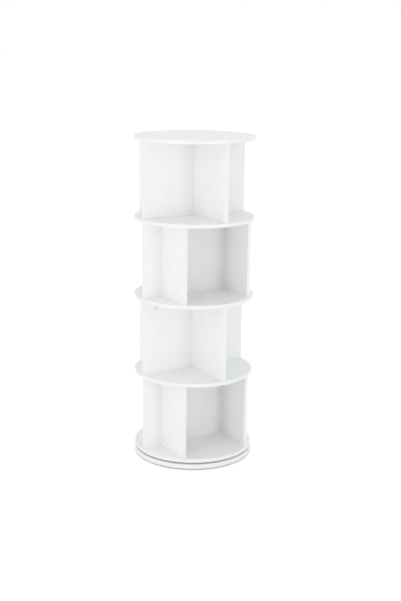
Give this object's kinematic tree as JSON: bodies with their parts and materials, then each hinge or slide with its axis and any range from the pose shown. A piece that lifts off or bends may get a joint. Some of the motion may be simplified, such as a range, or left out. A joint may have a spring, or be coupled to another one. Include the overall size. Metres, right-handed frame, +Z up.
{
  "type": "rotating bookcase tower",
  "caption": "Round white tower of stacked discs and upright boards, with open compartments all round each tier, turning on a ball bearing above a fixed round base.",
  "frame": {"origin": "on the floor, on the axis that the tower turns about", "axes": "+Z up along the turning axis, X along the main walls, -Y towards the side that the top tier's centre divider stands on"},
  "size_m": [0.5, 0.5, 1.36],
  "materials": {
    "board": "white melamine-faced particle board with white edge banding, satin",
    "cap": "white moulded plastic, satin",
    "cam": "bare die-cast zinc",
    "fastener": "bright zinc-plated steel",
    "ring": "extruded aluminium, matt",
    "balls": "polished steel balls in a pressed steel cage",
    "glide": "dark grey moulded plastic"
  },
  "bodies": {
    "base": {"foot_glide_1": "glide", "foot_glide_2": "glide", "foot_glide_3": "glide", "foot_glide_4": "glide", "foot_glide_5": "glide", "foot_glide_6": "glide", "base_disc": "board", "bearing_lower_ring": "ring", "lower_ring_screw_1": "fastener", "lower_ring_screw_2": "fastener", "lower_ring_screw_3": "fastener"},
    "ball_cage": {"ball_cage": "balls"},
    "tower": {"bearing_upper_ring": "ring", "upper_ring_screw_1": "fastener", "upper_ring_screw_2": "fastener", "upper_ring_screw_3": "fastener", "bottom_disc": "board", "tier_1_main_wall": "board", "tier_1_centre_divider": "board", "tier_1_left_divider": "board", "tier_1_right_divider": "board", "tier_1_left_cam_bolt": "fastener", "tier_1_left_cam_lock": "cam", "tier_1_left_cam_cap": "cap", "tier_1_right_cam_bolt": "fastener", "tier_1_right_cam_lock": "cam", "tier_1_right_cam_cap": "cap", "shelf_disc_1": "board", "tier_2_main_wall": "board", "tier_2_centre_divider": "board", "tier_2_left_divider": "board", "tier_2_right_divider": "board", "tier_2_left_cam_bolt": "fastener", "tier_2_left_cam_lock": "cam", "tier_2_right_cam_bolt": "fastener", "tier_2_right_cam_lock": "cam", "tier_2_right_cam_cap": "cap", "shelf_disc_2": "board", "tier_3_main_wall": "board", "tier_3_centre_divider": "board", "tier_3_left_divider": "board", "tier_3_right_divider": "board", "tier_3_left_cam_bolt": "fastener", "tier_3_left_cam_lock": "cam", "tier_3_left_cam_cap": "cap", "tier_3_right_cam_bolt": "fastener", "tier_3_right_cam_lock": "cam", "tier_3_right_cam_cap": "cap", "shelf_disc_3": "board", "tier_4_main_wall": "board", "tier_4_centre_divider": "board", "tier_4_left_divider": "board", "tier_4_right_divider": "board", "tier_4_left_cam_bolt": "fastener", "tier_4_left_cam_lock": "cam", "tier_4_left_cam_cap": "cap", "tier_4_right_cam_bolt": "fastener", "tier_4_right_cam_lock": "cam", "tier_4_right_cam_cap": "cap", "top_disc": "board"}
  },
  "joints": [
    {"name": "tower_turn", "type": "hinge", "parent": "base", "child": "tower", "pos_m": [0, 0, 0.029], "axis": [0, 0, 1], "continuous": true},
    {"name": "cage_turn", "type": "hinge", "parent": "base", "child": "ball_cage", "pos_m": [0, 0, 0.029], "axis": [0, 0, 1], "continuous": true}
  ],
  "couplings": [
    {"joint": "cage_turn", "follows": "tower_turn", "ratio": 0.4945}
  ]
}
